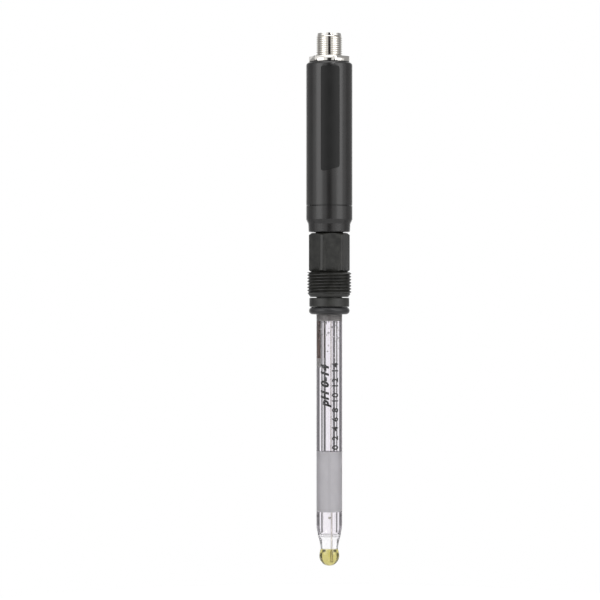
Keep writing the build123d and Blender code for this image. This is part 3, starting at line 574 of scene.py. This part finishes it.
# %% [markdown]
# ## Metals
#
# The plug connector is brass with a bright nickel plate, the contact cap turned stainless steel, pins and
# contacts are gold-plated, the wires are silver. A metal's colour is its reflection, so metallic is 1 and
# the index stays at its default. Turning leaves fine rings round the axis. An anisotropic shader could
# stretch the shine along them, but only a bump makes single rings show. It comes from a noise that changes
# fifty times faster along the axis than round it. Real tool marks lie some hundredths of a millimetre
# apart, which is too fine for the picture, so they are drawn at 0.15 to 0.3 mm.

# %% Metals
RING_SQUEEZE = 0.02
GLOSS_RANGE = (0.7, 1.3)


def metal(name, colour, roughness, ring_mm, ring_depth_mm):
    """A turned or plated metal with fine rings left by the tool."""
    material = blank(name)
    place = node(material, "TexCoord")
    squeezed = node(
        material, "Mapping", {"Scale": (RING_SQUEEZE, RING_SQUEEZE, 1.0)},
        {"Vector": place.outputs["Object"]},
    )
    rings = node(
        material, "TexNoise", {"Scale": 1 / (ring_mm * MM), "Detail": 3.0}, {"Vector": squeezed.outputs[0]}
    )
    relief = node(
        material, "Bump", {"Strength": 0.3, "Distance": ring_depth_mm * MM}, {"Height": rings.outputs[0]}
    )
    smoothest, roughest = (roughness * share for share in GLOSS_RANGE)
    gloss = node(
        material, "MapRange", {"To Min": smoothest, "To Max": roughest}, {"Value": rings.outputs[0]}
    )
    shader = node(
        material, "BsdfPrincipled", {"Base Color": linear(colour), "Metallic": 1.0},
        {"Roughness": gloss.outputs[0], "Normal": relief.outputs[0]},
    )
    return surface(material, shader)


nickel = metal("brass_nickel_plated_bright", "#dedbd6", roughness=0.12, ring_mm=0.2, ring_depth_mm=0.004)
steel = metal("stainless_steel_turned", "#c9c7c2", roughness=0.24, ring_mm=0.15, ring_depth_mm=0.01)
gold = metal("bronze_gold_plated", "#e3bd6a", roughness=0.18, ring_mm=0.2, ring_depth_mm=0.004)
silver = metal("silver_wire_drawn", "#d7d3cc", roughness=0.25, ring_mm=0.3, ring_depth_mm=0.004)
print("metals:", [m.name for m in (nickel, steel, gold, silver)])

# %% [markdown]
# ## Finishes on the frame's own pieces
#
# Every piece could be built again in Blender, but where the frame's shape is right as it stands, that only
# adds a chance to get it wrong. The piece stays and gets its finish. The screw head and the connector's
# shell are in the list too: their threads come later, and take the finish over.

# %% Dressing the frame
FINISHES = {
    salt: ["salt_filling"],
    cartridge: ["reference_cartridge"],
    fibre_plug: ["cartridge_plug"],
    cast_resin: ["annulus_plug", "head_potting"],
    ceramic: ["ceramic_junctions"],
    head_plastic: ["thrust_collar", "screw_head"],
    housing_plastic: ["upper_housing", "coupling_nut"],
    rubber: ["sealing_ring", "coupling_seal", "flange_gasket"],
    label_film: ["label_plate"],
    insulator: [
        "connector_insert", "socket_carrier", "microcontroller", "input_amplifier", "signal_isolator",
    ],
    white_insulator: ["contact_insulator"],
    nickel: ["connector_shell"],
    steel: ["reference_contact"],
    gold: ["connector_pins", "measuring_contact", "ring_contact", "centre_contact"],
    silver: ["measuring_electrode", "reference_lead"],
    board: ["connector_board", "main_board"],
}
for finish, names in FINISHES.items():
    for name in names:
        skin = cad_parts[name].data.materials
        skin.clear()
        skin.append(finish)
print(sum(len(names) for names in FINISHES.values()), "pieces of the frame have their finish")

# %% [markdown]
# Under the head the glass stands in resin. Only the fine gap over the collar shows it, and there bare glass
# would flash white where the gap lies in shade. A sleeve would need room that the gap doesn't have, so the
# shaft's own outer faces take the rubber's dark finish there: it is painted shade for the gap.

# %% Painted shade on the glass in the gap
SKIN_R = SHAFT_R - 0.1

# The shaft's outer faces from 1 mm up take the dark rubber finish: painted shade for the gap over the
# collar.
shaft.data.materials.append(rubber)
shade_painted = [
    face for face in shaft.data.polygons
    if face.center.z > GAP_SHADE_Z * MM and math.hypot(face.center.x, face.center.y) > SKIN_R * MM
]
for face in shade_painted:
    face.material_index = len(shaft.data.materials) - 1
print(len(shade_painted), "faces of the shaft are potted")

# %% [markdown]
# ## Threads
#
# A thread is one groove wound round the piece. The frame holds it as a plain cylinder at crest size, which
# is what a gauge would feel. A bump could fake the groove, but its teeth would be missing from the outline.
# Here the cylinder is drawn in to a core, and a sleeve with the real helix is put round it. The sleeve's
# rows follow the helix, so crest and root stay crisp, and rows that would pass the thread's end are held
# at it.

# %% A threaded sleeve
THREAD_ROWS, THREAD_STEPS = 12, 160
GROOVE_SHARE = 0.10
WELD = 0.0005


def thread_sleeve(shape, low, high, pitch, root_r, crest_r, core_r, crest_share, limit):
    """Adds a closed ring to shape: a right-hand thread outside, a plain bore of core_r inside, in mm.

    crest_share is the flat crest's share of half a pitch, as GROOVE_SHARE is the groove's. limit gives the
    largest radius at a height, for lead-ins and chamfers."""
    row_count = (math.ceil((high - low) / pitch) + 1) * THREAD_ROWS + 1
    columns = []
    for k in range(THREAD_STEPS + 1):
        turn = k / THREAD_STEPS
        angle = 2 * math.pi * turn
        points = []
        for i in range(row_count):
            height = min(max(low + (i / THREAD_ROWS - 1 + turn) * pitch, low), high)
            share = abs(2 * (((height - low) / pitch - turn) % 1.0) - 1)
            rise = min(max((share - GROOVE_SHARE) / (1 - GROOVE_SHARE - crest_share), 0.0), 1.0)
            points.append((min(root_r + (crest_r - root_r) * rise, limit(height)), height))
        points += [(core_r, high), (core_r, low)]
        columns.append([shape.verts.new(polar(radius, angle, height)) for radius, height in points])
    for here, there in zip(columns, columns[1:]):
        for i, corner in enumerate(here):
            j = (i + 1) % len(here)
            shape.faces.new((corner, there[i], there[j], here[j]))
    bmesh.ops.remove_doubles(shape, verts=shape.verts, dist=WELD * MM)


# %% [markdown]
# The core is made from a copy of the frame's own piece, so that hexagon, flange and bore stay as they are:
# only the points that lie on the thread's crest move in. The two ends of the plain thread move by their
# own measure, because the neighbouring faces that they have to clear differ.

# %% Drawing a plain thread in
ON_CREST = 0.02


def threaded(name, source, body, plain_r, core_rs, sleeve):
    """The frame's piece with its plain thread drawn in to a core, and a threaded sleeve round it.

    core_rs are the core's radii at the lower and at the upper end of the thread."""
    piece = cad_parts[source]
    shape = bmesh.new()
    shape.from_mesh(piece.data)
    middle = (sleeve["low"] + sleeve["high"]) / 2
    moved = 0
    for vertex in shape.verts:
        across = math.hypot(vertex.co.x, vertex.co.y) / MM
        if abs(across - plain_r) < ON_CREST:
            core_r = core_rs[1] if vertex.co.z / MM > middle else core_rs[0]
            factor = core_r / across
            vertex.co.x, vertex.co.y = vertex.co.x * factor, vertex.co.y * factor
            moved += 1
    bmesh.ops.remove_doubles(shape, verts=shape.verts, dist=WELD * MM)
    thread_sleeve(shape, **sleeve)
    made = to_object(name, shape, [piece.data.materials[0]], body)
    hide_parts(source)
    print(name, "moved", moved, "rim points")


# %% [markdown]
# The head carries the process thread that fits the glands of fermenters and pipes: 18 turns per inch,
# 20.4 mm over the crests, cut down by a lead-in cone. The thread ends at the hexagon, so its core is as
# wide as the hexagon's corners there.

# %% Process thread
HEAD_LOW = span("screw_head")[0][2]
PROCESS_PITCH = 25.4 / 18
PROCESS_CREST, PROCESS_ROOT, PROCESS_CORE, PROCESS_BORE = 10.2, 9.45, 9.3, 8.9
CONE_R, CONE_LENGTH, PROCESS_LENGTH = 8.8, 2.0, 9.5
CONE_SLOPE = (PROCESS_CREST - CONE_R) / CONE_LENGTH
HEXAGON_CORNER_R, CORNER_SPARE = 9.5, 0.01

threaded(
    "threaded_head", "screw_head", "electrode",
    plain_r=PROCESS_CREST,
    core_rs=(PROCESS_CORE, HEXAGON_CORNER_R + CORNER_SPARE),
    sleeve={
        "low": HEAD_LOW + (PROCESS_ROOT - CONE_R) / CONE_SLOPE,
        "high": HEAD_LOW + CONE_LENGTH + PROCESS_LENGTH,
        "pitch": PROCESS_PITCH,
        "root_r": PROCESS_ROOT,
        "crest_r": PROCESS_CREST,
        "core_r": PROCESS_BORE,
        "crest_share": 0.18,
        "limit": lambda height: min(CONE_R + CONE_SLOPE * (height - HEAD_LOW), PROCESS_CREST),
    },
)

# %% [markdown]
# The connector carries a 1 mm thread of 12 mm with a chamfer at its end. Its crests are wider than those of
# the moulded thread, because metal is cut and keeps a flat there.

# %% Connector thread
PLUG_TOP = span("connector_shell")[1][2]
PLUG_END, PLUG_LENGTH, PLUG_PITCH = 1.1, 9.2, 1.0
PLUG_CREST, PLUG_ROOT, PLUG_BORE = 6.0, 5.46, 5.0
PLUG_CORES = (5.505, 5.455)
PLUG_THREAD_TOP = PLUG_TOP - PLUG_END
CHAMFER_R, CHAMFER_SLOPE = 5.5, 0.9

threaded(
    "threaded_plug", "connector_shell", "head",
    plain_r=PLUG_CREST,
    core_rs=PLUG_CORES,
    sleeve={
        "low": PLUG_THREAD_TOP - PLUG_LENGTH,
        "high": PLUG_THREAD_TOP,
        "pitch": PLUG_PITCH,
        "root_r": PLUG_ROOT,
        "crest_r": PLUG_CREST,
        "core_r": PLUG_BORE,
        "crest_share": 0.36,
        "limit": lambda height: min(PLUG_CREST, CHAMFER_R + CHAMFER_SLOPE * (PLUG_THREAD_TOP - height)),
    },
)

# %% [markdown]
# ## Bubbles in the gel
#
# Gel is filled in hot and keeps bubbles, most of them under the resin plug where they rise to. They are
# small voids, so they bend light the other way round: from gel into air. A particle system could scatter
# them, but a seeded generator is shorter and puts the same ones in the gap between the tubes each time.
# Only the half that faces the lens gets them, because behind the inner tube they would hardly show.

# %% Bubbles
BUBBLE_COUNT, LARGE_EVERY = 60, 6
SMALL_R, LARGE_R = (0.08, 0.32), (0.35, 0.6)
STRETCH = (0.9, 1.35)
GAP_SPARE, TOP_SPARE = 0.2, 0.05
BUBBLES_DEEP, CROWDING = 18.0, 2.2
FRONT = (-165, -15)

chance = random.Random(11)
gap_low, gap_high = STEM_R + GAP_SPARE, GEL_R - GAP_SPARE
bubbles = bmesh.new()
for i in range(BUBBLE_COUNT):
    size = chance.uniform(*SMALL_R) if i % LARGE_EVERY else chance.uniform(*LARGE_R)
    depth = GEL_TOP - size - TOP_SPARE - BUBBLES_DEEP * chance.random() ** CROWDING
    reach = chance.uniform(gap_low + size, gap_high - size)
    angle = math.radians(chance.uniform(*FRONT))
    place = Vector((reach * math.cos(angle), reach * math.sin(angle), depth)) * MM
    ball = bmesh.ops.create_icosphere(bubbles, subdivisions=3, radius=size * MM)["verts"]
    bmesh.ops.scale(bubbles, vec=(1, 1, chance.uniform(*STRETCH)), verts=ball)
    bmesh.ops.translate(bubbles, vec=place, verts=ball)
to_object("gel_bubbles", bubbles, [void_in_gel], "electrode")

# %% [markdown]
# ## Print on the glass
#
# The shaft is printed by screen with a black ink: bold sloping letters and, beside them, a thin row of
# plain numbers. The ink could be a mask in the glass's material, but letters are hard to write as a
# pattern, and real ink lies on top of the glass. Text is a curve in Blender. It is turned into a mesh, read
# from the tip upwards, and each point is then wrapped round the glass, a hundredth of a millimetre off it.

# %% Printing
INK_R = SHAFT_R + 0.012
CURVE_STEPS = 6
LETTER_WELD = 0.002
ink = satin(
    "enamel_ink_screen_printed", "#161616", "#1f1f1f",
    patch_mm=1.0, roughness=0.45, spread=0.04, grain_mm=0.2, grain_depth_mm=0.002, index=1.5,
)


def printed(name, words, size_mm, foot_angle, start_z, slope=0.0, weight_mm=0.0, spacing=1.0):
    """Words that run up the shaft from start_z; foot_angle is where their foot line stands, in degrees."""
    curve = bpy.data.curves.new(name, "FONT")
    curve.body, curve.size, curve.shear, curve.space_character = words, size_mm, slope, spacing
    curve.offset, curve.resolution_u = weight_mm, CURVE_STEPS
    holder = bpy.data.objects.new(name, curve)
    scene.collection.objects.link(holder)
    bpy.context.view_layer.update()
    mesh = bpy.data.meshes.new_from_object(holder)
    bpy.data.objects.remove(holder)
    shape = bmesh.new()
    shape.from_mesh(mesh)
    bmesh.ops.remove_doubles(shape, verts=shape.verts, dist=LETTER_WELD)
    print(words, round(max(vertex.co.x for vertex in shape.verts), 1), "mm long")
    for vertex in shape.verts:
        angle = math.radians(foot_angle) - vertex.co.y / INK_R
        vertex.co = Vector((INK_R * math.cos(angle), INK_R * math.sin(angle), start_z + vertex.co.x)) * MM
    to_object(name, shape, [ink], "electrode")


printed(
    "print_words", "pH 0-14", size_mm=5.2, foot_angle=-95.0, start_z=-46.0,
    slope=0.3, weight_mm=0.28, spacing=1.1,
)
printed(
    "print_numbers", "0 2 4 6 8 10 12 14", size_mm=4.4, foot_angle=-49.0, start_z=-66.0,
    weight_mm=0.1, spacing=1.2,
)

# %% [markdown]
# ## The floor
#
# The rest of the lesson sets up the studio. The instrument hangs upright over a round sheet of white paper.
# The paper could be lit until it turns white, but that would bleach the instrument as well. So it is a
# light grey that keeps the shadow, and towards the lens it glows a little by itself. Rays that come through
# glass pass the paper, so that the glass keeps its dark lines when it is looked at from above.
#
# Light crosses more than a dozen faces on its way through both tubes, gel and buffer. The bounces are set
# high enough that none of these paths ends in black. The Standard view shows colours as they are written.

# %% Floor
FLOOR_DROP, FLOOR_REACH = 40.0, 280.0
PAPER_GLOW = 0.45

scene.view_settings.view_transform = "Standard"
scene.cycles.max_bounces = 32
scene.cycles.transmission_bounces = 32
scene.cycles.transparent_max_bounces = 64

floor_shape = bmesh.new()
bmesh.ops.create_circle(floor_shape, cap_ends=True, segments=96, radius=FLOOR_REACH * MM)
floor_mesh = bpy.data.meshes.new("floor")
floor_shape.to_mesh(floor_mesh)
floor_shape.free()
floor = bpy.data.objects.new("floor", floor_mesh)
floor.location.z = (TIP_Z - FLOOR_DROP) * MM
scene.collection.objects.link(floor)

paper = blank("paper_white_matt")
path = node(paper, "LightPath")
diffuse = node(paper, "BsdfDiffuse", {"Color": linear("#e8e8e8")})
glow = node(paper, "Emission", {"Color": linear("#ffffff"), "Strength": PAPER_GLOW})
lit = node(paper, "AddShader", {}, {0: diffuse.outputs[0], 1: glow.outputs[0]})
to_lens = node(
    paper, "MixShader", {}, {0: path.outputs["Is Camera Ray"], 1: diffuse.outputs[0], 2: lit.outputs[0]}
)
open_paper = node(paper, "BsdfTransparent")
sheet = node(
    paper, "MixShader", {},
    {0: path.outputs["Is Transmission Ray"], 1: to_lens.outputs[0], 2: open_paper.outputs[0]},
)
floor_mesh.materials.append(surface(paper, sheet))
print("floor at", round(floor.location.z / MM, 1), "mm")

# %% [markdown]
# ## The light tent
#
# Glass and bright metal only show what stands round them. The instrument stood in a tent: a white wall
# behind it, dim corners beside that wall, which draw the dark lines in the glass, a white field in front,
# and in its middle a narrow dark slot for the lens, which draws the dark line down the middle of all that
# shines. The tent could be built from planes, but they would stand in the way of every other view. It is
# painted on the world instead, by direction. The lens itself sees plain white.
#
# All of it is made of soft steps along a direction's shares: how far it points aside, to the back, and up.

# %% The light tent
tent = bpy.data.worlds.new("light_tent")
scene.world = tent
tent.use_nodes = True
tent.node_tree.nodes.clear()
way = node(tent, "TexCoord")
flat = node(tent, "VectorMath", {"operation": "MULTIPLY", 1: (1, 1, 0)}, {0: way.outputs["Generated"]})
level = node(tent, "VectorMath", {"operation": "NORMALIZE"}, {0: flat.outputs[0]})
shares = node(tent, "SeparateXYZ", {}, {0: level.outputs[0]})
aside = node(tent, "Math", {"operation": "ABSOLUTE"}, {0: shares.outputs["X"]})


def soft_step(edges, start, end):
    """Settings of a soft step from start to end, between two edges."""
    limits = {"From Min": edges[0], "From Max": edges[1], "To Min": start, "To Max": end}
    return {"interpolation_type": "SMOOTHSTEP", **limits}


# %% [markdown]
# What is seen through glass and what is seen in its shine are two patterns of the same kind. Shine shows
# the slot for the lens, and corners that are only half dark. Glass shows no slot, and its corners are
# nearly black, because the lines in the glass are.

# %% Walls and corners
SLOT_EDGES, CORNER_EDGES, BACK_EDGES = (0.15, 0.28), (0.42, 0.52), (-0.05, 0.05)


def level_pattern(slot, corners):
    """Brightness round the horizon, given the brightness of the slot in front and of the corners behind."""
    ahead = node(tent, "MapRange", soft_step(SLOT_EDGES, slot, 1.0), {"Value": aside.outputs[0]})
    behind = node(tent, "MapRange", soft_step(CORNER_EDGES, 1.0, corners), {"Value": aside.outputs[0]})
    is_back = node(tent, "MapRange", soft_step(BACK_EDGES, 0.0, 1.0), {"Value": shares.outputs["Y"]})
    return node(tent, "Mix", {}, {0: is_back.outputs[0], 2: ahead.outputs[0], 3: behind.outputs[0]})


through_level = level_pattern(slot=1.0, corners=0.11)
in_shine = level_pattern(slot=0.02, corners=0.4)

# %% [markdown]
# Below the horizon the tent hangs in eight white panels with dark posts between them, down to a dim foot,
# so that glass keeps its lines when it is looked at from above.

# %% Panels and posts
PANELS = 8.0
POST_LIGHT = 0.15
POST_EDGES, FOOT_EDGES, HORIZON_EDGES = (-0.5, -0.1), (-0.55, -0.45), (-0.24, -0.2)

turn = node(tent, "Math", {"operation": "ARCTAN2"}, {0: shares.outputs["Y"], 1: shares.outputs["X"]})
turns = node(tent, "Math", {"operation": "MULTIPLY", 1: PANELS}, {0: turn.outputs[0]})
waves = node(tent, "Math", {"operation": "COSINE"}, {0: turns.outputs[0]})
heights = node(tent, "SeparateXYZ", {}, {0: way.outputs["Generated"]})
panels = node(tent, "MapRange", soft_step(POST_EDGES, POST_LIGHT, 1.0), {"Value": waves.outputs[0]})
off_foot = node(tent, "MapRange", soft_step(FOOT_EDGES, 0.0, 1.0), {"Value": heights.outputs["Z"]})
hanging = node(tent, "Mix", {2: POST_LIGHT}, {0: off_foot.outputs[0], 3: panels.outputs[0]})
below = node(tent, "MapRange", soft_step(HORIZON_EDGES, 1.0, 0.0), {"Value": heights.outputs["Z"]})
through_glass = node(
    tent, "Mix", {}, {0: below.outputs[0], 2: through_level.outputs[0], 3: hanging.outputs[0]}
)

# %% [markdown]
# A ray knows how it came. Cycles calls a ray that was bent into glass glossy as well, so what counts as
# shine here is a glossy ray that isn't a transmitted one.

# %% Who sees what
view_path = node(tent, "LightPath")
shine = node(
    tent, "Math", {"operation": "SUBTRACT", "use_clamp": True},
    {0: view_path.outputs["Is Glossy Ray"], 1: view_path.outputs["Is Transmission Ray"]},
)
tent_level = node(
    tent, "Mix", {}, {0: shine.outputs[0], 2: through_glass.outputs[0], 3: in_shine.outputs[0]}
)
tent_light = node(tent, "Background", {"Color": linear("#ffffff")}, {"Strength": tent_level.outputs[0]})
white = node(tent, "Background", {"Color": linear("#ffffff"), "Strength": 1.0})
both = node(
    tent, "MixShader", {},
    {0: view_path.outputs["Is Camera Ray"], 1: tent_light.outputs[0], 2: white.outputs[0]},
)
node(tent, "OutputWorld", {}, {"Surface": both.outputs[0]})
print("the tent has", len(tent.node_tree.nodes), "nodes")

# %% [markdown]
# ## Lamps
#
# Two soft boxes and one from above bring matt colours to the level that they are written at. A small lamp,
# high on the right, puts the short highlights on ring, thread and chamfers. The world could light the
# plastic alone, but its light comes from everywhere and leaves no form.

# %% Lamps
for name, x, y, z, size, watts in (
    ("soft_box_left", -0.9, -0.7, 0.35, 0.7, 2.8),
    ("soft_box_right", 0.9, -0.7, 0.35, 0.7, 2.8),
    ("soft_box_top", 0.0, -0.1, 1.1, 0.8, 3.5),
    ("small_lamp", 0.34, -0.85, 0.77, 0.14, 1.6),
):
    lamp = bpy.data.lights.new(name, "AREA")
    lamp.size, lamp.energy = size, watts
    holder = bpy.data.objects.new(name, lamp)
    holder.location = (x, y, z)
    holder.rotation_euler = (Vector((0, 0, 0)) - holder.location).to_track_quat("-Z", "Y").to_euler()
    scene.collection.objects.link(holder)
    print(name, "stands", round(holder.location.length, 2), "m away")

# %% [markdown]
# ## Camera
#
# The lens looks straight ahead from 1.2 m. Its focal length follows from the scale that the picture should
# have, and the camera stands aside and up by what puts the axis and the insertion datum on their pixels. It
# could be turned towards the instrument instead, but a camera that looks straight ahead keeps the scale the
# same over the whole length.

# %% Camera
PIXELS, PIXELS_PER_MM = 600, 2.157
AXIS_PIXEL, DATUM_PIXEL = 329.3, 306.9
DISTANCE = 1.2
SENSOR = 36.0
picture_width = PIXELS / PIXELS_PER_MM * MM

camera_data = bpy.data.cameras.new("camera")
camera_data.sensor_width = SENSOR
camera_data.lens = SENSOR * DISTANCE / picture_width
camera_data.clip_start, camera_data.clip_end = 0.05, 20.0
camera = bpy.data.objects.new("camera", camera_data)
camera.location = (
    (PIXELS / 2 - AXIS_PIXEL) / PIXELS_PER_MM * MM,
    -DISTANCE,
    (DATUM_PIXEL - PIXELS / 2) / PIXELS_PER_MM * MM,
)
camera.rotation_euler = (math.pi / 2, 0, 0)
scene.collection.objects.link(camera)
scene.camera = camera
print("focal length", round(camera_data.lens, 1), "mm")
